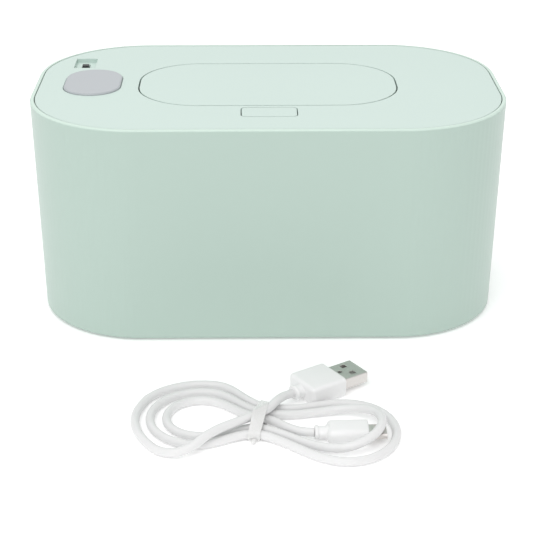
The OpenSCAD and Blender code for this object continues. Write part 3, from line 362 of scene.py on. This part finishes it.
tieSettings = {
    "width": 4.4,
    "inner": 0.1,
    "thickness": 0.4,
    "mostStretch": 1.5,
    "cordSides": 32,
    "sideFacing": 0.9,
    "tab": (
        (0.0, 2.3, 0.9), (0.6, 2.2, 1.0), (1.0, 2.1, 1.15), (1.5, 2.0, 1.2),
        (2.0, 1.9, 1.15), (2.5, 1.8, 1.0), (3.0, 1.3, 0.6),
    ),
    "tabSides": 16,
    "tabInside": 0.6,
    "tabHeight": 1.35,
    "twistPerMm": 16.0,
    "sharpDegrees": 40,
}


def addTieEnds(bm, settings, front):
    # the twisted ends of the tie stick out at the front
    end = bmesh.new()
    stackRings(end, settings["tab"], settings["tabSides"])
    for v in end.verts:
        v.co = Matrix.Rotation(math.radians(settings["twistPerMm"] * v.co.x), 3, "X") @ v.co
    place = Matrix.Translation((leadSettings["tieX"], front + settings["tabInside"], settings["tabHeight"]))
    end.transform(place @ Matrix.Rotation(-math.pi / 2, 4, "Z"))
    mesh = bpy.data.meshes.new("tieEnds")
    end.to_mesh(mesh)
    end.free()
    bm.from_mesh(mesh)
    bpy.data.meshes.remove(mesh)


def makeTie(settings):
    # thin strap pulled tight round the waist of the loops and the stretch that crosses it
    route = leadRoute()
    half = settings["width"] / 2
    radius = leadSettings["diameter"] / 2 + settings["inner"]
    bm = bmesh.new()
    for x in (leadSettings["tieX"] - half, leadSettings["tieX"] + half):
        for a, b in zip(route, route[1:]):
            if (a.x - x) * (b.x - x) > 0 or a.x == b.x:
                continue
            at = a.lerp(b, (x - a.x) / (b.x - a.x))
            stretch = min((b - a).length / abs(b.x - a.x), settings["mostStretch"])
            ring = bmesh.ops.create_circle(bm, radius=radius, segments=settings["cordSides"])["verts"]
            bmesh.ops.rotate(bm, verts=ring, cent=(0, 0, 0), matrix=quarterAboutY)
            bmesh.ops.scale(bm, vec=(1, stretch, 1), verts=ring)
            bmesh.ops.translate(bm, vec=(x, at.y, at.z), verts=ring)
    hull = bmesh.ops.convex_hull(bm, input=bm.verts)
    loose = [item for item in bm.verts if item in hull["geom_interior"] or item in hull["geom_unused"]]
    bmesh.ops.delete(bm, geom=loose, context="VERTS")
    # a strap is open at both sides
    sides = [face for face in bm.faces if abs(face.normal.x) > settings["sideFacing"]]
    bmesh.ops.delete(bm, geom=sides, context="FACES_ONLY")
    bmesh.ops.delete(bm, geom=[edge for edge in bm.edges if not edge.link_faces], context="EDGES")
    bmesh.ops.recalc_face_normals(bm, faces=bm.faces)
    bmesh.ops.solidify(bm, geom=bm.faces[:], thickness=-settings["thickness"])
    front = min(v.co.y for v in bm.verts)
    addTieEnds(bm, settings, front)
    bm.transform(leadPlane())
    piece = newPiece("leadTieStrap", bm, "lead", sharpDegrees=settings["sharpDegrees"])
    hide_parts("lead_tie")
    return piece


tieStrap = makeTie(tieSettings)
print("plug grips and tie made")


cushionSettings = {
    "node": "button_cushions", "joint": "heat_press", "travel": 0.5, "sides": 32, "slot": "silicone",
}
latchSpringSettings = {
    "node": "latch_spring", "joint": "latch_press", "travel": 0.9, "wire": 0.2,
    "turns": 3, "stepsPerTurn": 24, "sides": 10, "slot": "spring_steel",
}


def standIn(name, bm, settings):
    # takes a node's place on the cover, hiding the node, with a mesh of its own
    piece = newPiece(name, bm, "cover")
    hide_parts(settings["node"])
    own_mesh(piece)
    return piece


def makeCushions(settings):
    low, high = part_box(settings["node"])
    radius = (high.y - low.y) / 2
    bm = bmesh.new()
    for x in (low.x + radius, high.x - radius):
        pad = bmesh.ops.create_cone(
            bm, cap_ends=True, segments=settings["sides"],
            radius1=radius, radius2=radius, depth=high.z - low.z,
        )["verts"]
        bmesh.ops.translate(bm, vec=(x, (low.y + high.y) / 2, (low.z + high.z) / 2), verts=pad)
    return standIn("keyCushions", bm, settings)


def makeLatchSpring(settings):
    low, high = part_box(settings["node"])
    wire = settings["wire"] * mm
    middle = (low + high) / 2
    steps = settings["turns"] * settings["stepsPerTurn"]
    bm = bmesh.new()
    ring = bmesh.ops.create_circle(bm, cap_ends=True, radius=wire, segments=settings["sides"])["verts"]
    bmesh.ops.rotate(bm, verts=ring, cent=(0, 0, 0), matrix=Matrix.Rotation(math.pi / 2, 3, "X"))
    bmesh.ops.translate(bm, vec=(high.x - wire, middle.y, low.z + wire), verts=ring)
    bmesh.ops.spin(
        bm, geom=bm.verts[:] + bm.edges[:] + bm.faces[:],
        cent=(middle.x, middle.y, low.z), axis=(0, 0, 1), steps=steps,
        dvec=(0, 0, (high.z - low.z - 2 * wire) / steps), angle=2 * math.pi * settings["turns"],
        use_merge=False, use_duplicate=False,
    )
    return standIn("latchSpringCoil", bm, settings)


keyCushions = makeCushions(cushionSettings)
latchSpring = makeLatchSpring(latchSpringSettings)
print("cushions and latch spring made")


def nodeGroup(name, inputs, outputs):
    group = bpy.data.node_groups.new(name, "ShaderNodeTree")
    for label, kind, value in inputs:
        socket = group.interface.new_socket(label, in_out="INPUT", socket_type=kind)
        socket.default_value = value
    for label, kind in outputs:
        group.interface.new_socket(label, in_out="OUTPUT", socket_type=kind)
    return group, group.nodes.new("NodeGroupInput"), group.nodes.new("NodeGroupOutput")


grainSettings = {"fineDetail": 3, "waveDetail": 1, "edgeSamples": 4}


def makeMouldGrain():
    # fine spark-eroded texture plus a slow unevenness, as bump and as a roughness signal
    group, entry, end = nodeGroup(
        "mouldGrain",
        [("fineSize", "NodeSocketFloat", 2600.0), ("fineDepth", "NodeSocketFloat", 0.00001),
         ("waveSize", "NodeSocketFloat", 22.0), ("waveDepth", "NodeSocketFloat", 0.00004),
         ("edgeRadius", "NodeSocketFloat", 0.0003)],
        [("normal", "NodeSocketVector"), ("grain", "NodeSocketFloat"), ("wave", "NodeSocketFloat")],
    )
    make, link = group.nodes.new, group.links.new
    place = make("ShaderNodeTexCoord")
    fine = make("ShaderNodeTexNoise")
    fine.inputs["Detail"].default_value = grainSettings["fineDetail"]
    wave = make("ShaderNodeTexNoise")
    wave.inputs["Detail"].default_value = grainSettings["waveDetail"]
    link(place.outputs["Object"], fine.inputs["Vector"])
    link(place.outputs["Object"], wave.inputs["Vector"])
    link(entry.outputs["fineSize"], fine.inputs["Scale"])
    link(entry.outputs["waveSize"], wave.inputs["Scale"])
    edge = make("ShaderNodeBevel")
    edge.samples = grainSettings["edgeSamples"]
    link(entry.outputs["edgeRadius"], edge.inputs["Radius"])
    low = make("ShaderNodeBump")
    link(edge.outputs["Normal"], low.inputs["Normal"])
    link(wave.outputs["Fac"], low.inputs["Height"])
    link(entry.outputs["waveDepth"], low.inputs["Distance"])
    top = make("ShaderNodeBump")
    link(fine.outputs["Fac"], top.inputs["Height"])
    link(entry.outputs["fineDepth"], top.inputs["Distance"])
    link(low.outputs["Normal"], top.inputs["Normal"])
    link(top.outputs["Normal"], end.inputs["normal"])
    link(fine.outputs["Fac"], end.inputs["grain"])
    link(wave.outputs["Fac"], end.inputs["wave"])
    return group


mouldGrain = makeMouldGrain()


def rimTint(tree, paint, settings):
    # painted highlight: a paler line along the top edge of a wall, between two heights, standing in for the
    # light caught by the rounded rim
    make, link = tree.nodes.new, tree.links.new
    place, split = make("ShaderNodeTexCoord"), make("ShaderNodeSeparateXYZ")
    link(place.outputs["Object"], split.inputs[0])
    share = make("ShaderNodeMapRange")
    share.interpolation_type = "SMOOTHSTEP"
    share.inputs["From Min"].default_value, share.inputs["From Max"].default_value = settings["rim"]
    link(split.outputs["Z"], share.inputs["Value"])
    mixed = make("ShaderNodeMix")
    mixed.data_type = "RGBA"
    link(share.outputs["Result"], mixed.inputs["Factor"])
    link(paint, mixed.inputs["A"])
    mixed.inputs["B"].default_value = (*settings["rimColour"], 1)
    return mixed.outputs["Result"]


def plastic(name, settings):
    # moulded plastic: a colour that drifts a little, fine grain, uneven gloss
    material = bpy.data.materials.new(name)
    material.use_nodes = True
    tree = material.node_tree
    make, link = tree.nodes.new, tree.links.new
    shader = tree.nodes["Principled BSDF"]
    grain = make("ShaderNodeGroup")
    grain.node_tree = mouldGrain
    for key in ("fineSize", "fineDepth", "waveSize", "waveDepth", "edgeRadius"):
        grain.inputs[key].default_value = settings[key]
    link(grain.outputs["normal"], shader.inputs["Normal"])
    colour = make("ShaderNodeMix")
    colour.data_type = "RGBA"
    base = settings["colour"]
    drift = settings["drift"]
    colour.inputs["A"].default_value = (*[c * (1 - drift) for c in base], 1)
    colour.inputs["B"].default_value = (*[min(1, c * (1 + drift)) for c in base], 1)
    link(grain.outputs["wave"], colour.inputs["Factor"])
    paint = colour.outputs["Result"]
    # where the settings ask for it, a painted highlight along the rim's top edge
    if "rim" in settings:
        paint = rimTint(tree, paint, settings)
    link(paint, shader.inputs["Base Color"])
    rough = make("ShaderNodeMapRange")
    rough.inputs["To Min"].default_value = settings["rough"] - settings["roughSpread"]
    rough.inputs["To Max"].default_value = settings["rough"] + settings["roughSpread"]
    link(grain.outputs["grain"], rough.inputs["Value"])
    link(rough.outputs["Result"], shader.inputs["Roughness"])
    shader.inputs["IOR"].default_value = settings["ior"]
    shader.inputs["Subsurface Weight"].default_value = settings["soft"]
    shader.inputs["Subsurface Radius"].default_value = settings["softRadius"]
    shader.inputs["Subsurface Scale"].default_value = settings["softScale"]
    return material


metalGrain = {"detail": 4, "roughSpread": 0.08, "darker": 0.93, "lighter": 1.05,
              "edgeRadius": 0.0002, "depth": 0.000004}


def metal(name, settings):
    # sheet or turned metal with fine lines along one direction
    material = bpy.data.materials.new(name)
    material.use_nodes = True
    tree = material.node_tree
    make, link = tree.nodes.new, tree.links.new
    shader = tree.nodes["Principled BSDF"]
    place = make("ShaderNodeTexCoord")
    stretch = make("ShaderNodeMapping")
    stretch.inputs["Scale"].default_value = settings["lines"]
    noise = make("ShaderNodeTexNoise")
    noise.inputs["Scale"].default_value = 1
    noise.inputs["Detail"].default_value = metalGrain["detail"]
    link(place.outputs["Object"], stretch.inputs["Vector"])
    link(stretch.outputs["Vector"], noise.inputs["Vector"])
    rough = make("ShaderNodeMapRange")
    rough.inputs["To Min"].default_value = settings["rough"] - metalGrain["roughSpread"]
    rough.inputs["To Max"].default_value = settings["rough"] + metalGrain["roughSpread"]
    link(noise.outputs["Fac"], rough.inputs["Value"])
    link(rough.outputs["Result"], shader.inputs["Roughness"])
    colour = make("ShaderNodeMix")
    colour.data_type = "RGBA"
    base = settings["colour"]
    colour.inputs["A"].default_value = (*[c * metalGrain["darker"] for c in base], 1)
    colour.inputs["B"].default_value = (*[min(1, c * metalGrain["lighter"]) for c in base], 1)
    link(noise.outputs["Fac"], colour.inputs["Factor"])
    link(colour.outputs["Result"], shader.inputs["Base Color"])
    edge = make("ShaderNodeBevel")
    edge.samples = grainSettings["edgeSamples"]
    edge.inputs["Radius"].default_value = metalGrain["edgeRadius"]
    bump = make("ShaderNodeBump")
    link(edge.outputs["Normal"], bump.inputs["Normal"])
    bump.inputs["Distance"].default_value = metalGrain["depth"]
    link(noise.outputs["Fac"], bump.inputs["Height"])
    link(bump.outputs["Normal"], shader.inputs["Normal"])
    shader.inputs["Metallic"].default_value = 1
    return material


bodyPlastic = {
    "fineSize": 2600.0, "fineDepth": 0.000006, "waveSize": 14.0, "waveDepth": 0.00003,
    "edgeRadius": 0.0004, "drift": 0.012, "rough": 0.42, "roughSpread": 0.05, "ior": 1.46,
    "soft": 0, "softRadius": (0.004, 0.004, 0.004), "softScale": 0.6,
}
materialSettings = {
    # the shell is the cover's mint painted darker, as painted shade on its walls, with a painted highlight
    # on its rim top
    "shellMintPaintedShade": {**bodyPlastic, "colour": (0.438, 0.552, 0.494), "rough": 0.36, "edgeRadius": 0.0008,
                  "rim": (0.0926, 0.0933), "rimColour": (0.63, 0.77, 0.69)},
    "coverMint": {**bodyPlastic, "colour": (0.576, 0.697, 0.646)},
    "tankWhite": {**bodyPlastic, "colour": (0.70, 0.725, 0.715), "rough": 0.38},
    "softWhite": {**bodyPlastic, "colour": (0.65, 0.68, 0.67), "rough": 0.55, "soft": 0.2},
    "footGrey": {**bodyPlastic, "colour": (0.55, 0.58, 0.57), "rough": 0.75, "fineDepth": 0.00003},
    "keyGrey": {**bodyPlastic, "colour": (0.450, 0.479, 0.500), "rough": 0.34, "edgeRadius": 0.0005},
    "leverBlack": {**bodyPlastic, "colour": (0.030, 0.033, 0.033), "rough": 0.5},
    "partDark": {**bodyPlastic, "colour": (0.040, 0.041, 0.045), "rough": 0.5},
    "partLight": {**bodyPlastic, "colour": (0.68, 0.68, 0.66), "rough": 0.45},
    "tieWhite": {**bodyPlastic, "colour": (0.78, 0.78, 0.77), "rough": 0.28, "soft": 0.3,
                 "edgeRadius": 0.0001},
    "leadJacket": {**bodyPlastic, "colour": (0.77, 0.77, 0.77), "rough": 0.40, "soft": 0.15,
                   "edgeRadius": 0.00005},
    "gripWhite": {**bodyPlastic, "colour": (0.86, 0.86, 0.86), "rough": 0.36, "edgeRadius": 0.0002},
    "wireRed": {**bodyPlastic, "colour": (0.55, 0.07, 0.055), "rough": 0.35},
    "beadGreen": {**bodyPlastic, "colour": (0.14, 0.32, 0.16), "rough": 0.3},
    "boardGreen": {**bodyPlastic, "colour": (0.035, 0.21, 0.11), "rough": 0.3},
    "filmAmber": {**bodyPlastic, "colour": (0.62, 0.32, 0.09), "rough": 0.25},
    "foamCream": {**bodyPlastic, "colour": (0.74, 0.72, 0.68), "rough": 0.9,
                  "fineSize": 900.0, "fineDepth": 0.0003},
}
made = {name: plastic(name, settings) for name, settings in materialSettings.items()}
metalSettings = {
    "screwSteel": {"colour": (0.60, 0.60, 0.62), "rough": 0.35, "lines": (900, 900, 900)},
    "plugSteel": {"colour": (0.70, 0.67, 0.65), "rough": 0.36, "lines": (1800, 120, 1800)},
    "plateMetal": {"colour": (0.80, 0.81, 0.82), "rough": 0.42, "lines": (30, 1600, 1600)},
}
made.update({name: metal(name, settings) for name, settings in metalSettings.items()})

finishOf = {
    "outer_shell": "shellMintPaintedShade", "inner_tank": "tankWhite", "foam_sleeve": "foamCream",
    "tank_screws": "screwSteel", "foot_pads": "footGrey", "cover_plate": "coverMint",
    "cover_tray": "tankWhite", "tray_screws": "screwSteel", "cover_seal": "softWhite",
    "heat_plate": "plateMetal", "heater_film": "filmAmber", "temp_sensor": "beadGreen",
    "heater_wires": "wireRed", "control_board": "boardGreen", "board_screws": "screwSteel",
    "power_socket": "plugSteel", "socket_tongue": "partDark", "tact_switch": "partDark",
    "slide_switch_case": "plugSteel", "status_led": "partLight", "dispensing_lip": "softWhite",
    "hinge_pin": "screwSteel", "lid_springs": "screwSteel", "hook_pin": "screwSteel",
    "latch_spring": "screwSteel", "button_cushions": "softWhite", "flip_lid": "coverMint",
    "lid_liner": "tankWhite", "lid_gasket": "softWhite", "latch_button": "coverMint",
    "latch_hook": "tankWhite", "heat_button": "keyGrey", "switch_lever": "leverBlack",
    "lead_tie": "tieWhite", "usb_a_grip": "gripWhite", "usb_a_shell": "plugSteel",
    "usb_a_tongue": "partLight", "usb_c_grip": "gripWhite", "usb_c_tip": "plugSteel",
}
for name, finish in finishOf.items():
    nodes[name].data.materials.clear()
    nodes[name].data.materials.append(made[finish])
for piece, finish in (
    (leadCord, "leadJacket"), (largeGrip, "gripWhite"), (smallGrip, "gripWhite"), (tieStrap, "tieWhite"),
    (keyCushions, "softWhite"), (latchSpring, "screwSteel"),
):
    piece.data.materials.append(made[finish])
print("materials made")


floorSettings = {
    "reach": 6, "colour": 0.93, "rough": 0.9, "gloss": 0.1, "glow": 0.22, "fadeFrom": 0.7, "fadeTo": 1.4,
}


def makeFloor(settings):
    # pale near the object, where it keeps the shadow, and plain white to the camera further out
    bm = bmesh.new()
    bmesh.ops.create_grid(bm, x_segments=1, y_segments=1, size=settings["reach"])
    mesh = bpy.data.meshes.new("floor")
    bm.to_mesh(mesh)
    bm.free()
    floor = bpy.data.objects.new("floor", mesh)
    scene.collection.objects.link(floor)
    material = bpy.data.materials.new("floorPale")
    material.use_nodes = True
    tree = material.node_tree
    make, link = tree.nodes.new, tree.links.new
    shader = tree.nodes["Principled BSDF"]
    shader.inputs["Base Color"].default_value = (*[settings["colour"]] * 3, 1)
    shader.inputs["Roughness"].default_value = settings["rough"]
    shader.inputs["Specular IOR Level"].default_value = settings["gloss"]
    shader.inputs["Emission Color"].default_value = (1, 1, 1, 1)
    shader.inputs["Emission Strength"].default_value = settings["glow"]
    place, far, fade = make("ShaderNodeTexCoord"), make("ShaderNodeVectorMath"), make("ShaderNodeMapRange")
    far.operation = "LENGTH"
    link(place.outputs["Object"], far.inputs[0])
    link(far.outputs["Value"], fade.inputs["Value"])
    fade.inputs["From Min"].default_value = settings["fadeFrom"]
    fade.inputs["From Max"].default_value = settings["fadeTo"]
    path, share = make("ShaderNodeLightPath"), make("ShaderNodeMath")
    share.operation = "MULTIPLY"
    link(path.outputs["Is Camera Ray"], share.inputs[0])
    link(fade.outputs["Result"], share.inputs[1])
    white, mixed = make("ShaderNodeEmission"), make("ShaderNodeMixShader")
    link(share.outputs[0], mixed.inputs["Fac"])
    link(shader.outputs[0], mixed.inputs[1])
    link(white.outputs[0], mixed.inputs[2])
    link(mixed.outputs[0], tree.nodes["Material Output"].inputs["Surface"])
    mesh.materials.append(material)


def makeLight(name, place, aim, size, power):
    data = bpy.data.lights.new(name, "AREA")
    data.shape = "RECTANGLE"
    data.size, data.size_y = size
    data.energy = power
    lamp = bpy.data.objects.new(name, data)
    scene.collection.objects.link(lamp)
    lamp.location = place
    lamp.rotation_mode = "QUATERNION"
    lamp.rotation_quaternion = (Vector(aim) - Vector(place)).to_track_quat("-Z", "Y")


def makeWorld(strength):
    # even light all round, seen as plain white by the camera and through anything clear
    world = bpy.data.worlds.new("studio")
    scene.world = world
    world.use_nodes = True
    tree = world.node_tree
    tree.nodes.clear()
    make, link = tree.nodes.new, tree.links.new
    path = make("ShaderNodeLightPath")
    soft = make("ShaderNodeBackground")
    soft.inputs["Color"].default_value = (1, 1, 1, 1)
    soft.inputs["Strength"].default_value = strength
    white = make("ShaderNodeBackground")
    white.inputs["Color"].default_value = (1, 1, 1, 1)
    white.inputs["Strength"].default_value = 1
    pick = make("ShaderNodeMath")
    pick.operation = "MAXIMUM"
    link(path.outputs["Is Camera Ray"], pick.inputs[0])
    link(path.outputs["Is Transmission Ray"], pick.inputs[1])
    mixed = make("ShaderNodeMixShader")
    link(pick.outputs[0], mixed.inputs["Fac"])
    link(soft.outputs[0], mixed.inputs[1])
    link(white.outputs[0], mixed.inputs[2])
    link(mixed.outputs[0], make("ShaderNodeOutputWorld").inputs["Surface"])


lightSettings = {
    "world": 0.74,
    "lamps": (
        ("keyLamp", (-0.35, -0.95, 1.5), (0, 0, 0.03), (1.2, 1.0), 11.0),
        ("fillLamp", (-0.2, -1.5, 0.25), (0, 0, 0.03), (0.8, 0.4), 0.8),
        ("backLamp", (-0.1, 1.2, 1.3), (0, 0, 0.05), (1.6, 0.8), 6.5),
    ),
}
makeFloor(floorSettings)
makeWorld(lightSettings["world"])
for lamp in lightSettings["lamps"]:
    makeLight(*lamp)
scene.view_settings.view_transform = "Standard"
scene.view_settings.look = "None"
scene.view_settings.exposure = 0
scene.view_settings.gamma = 1
print("floor and light made")
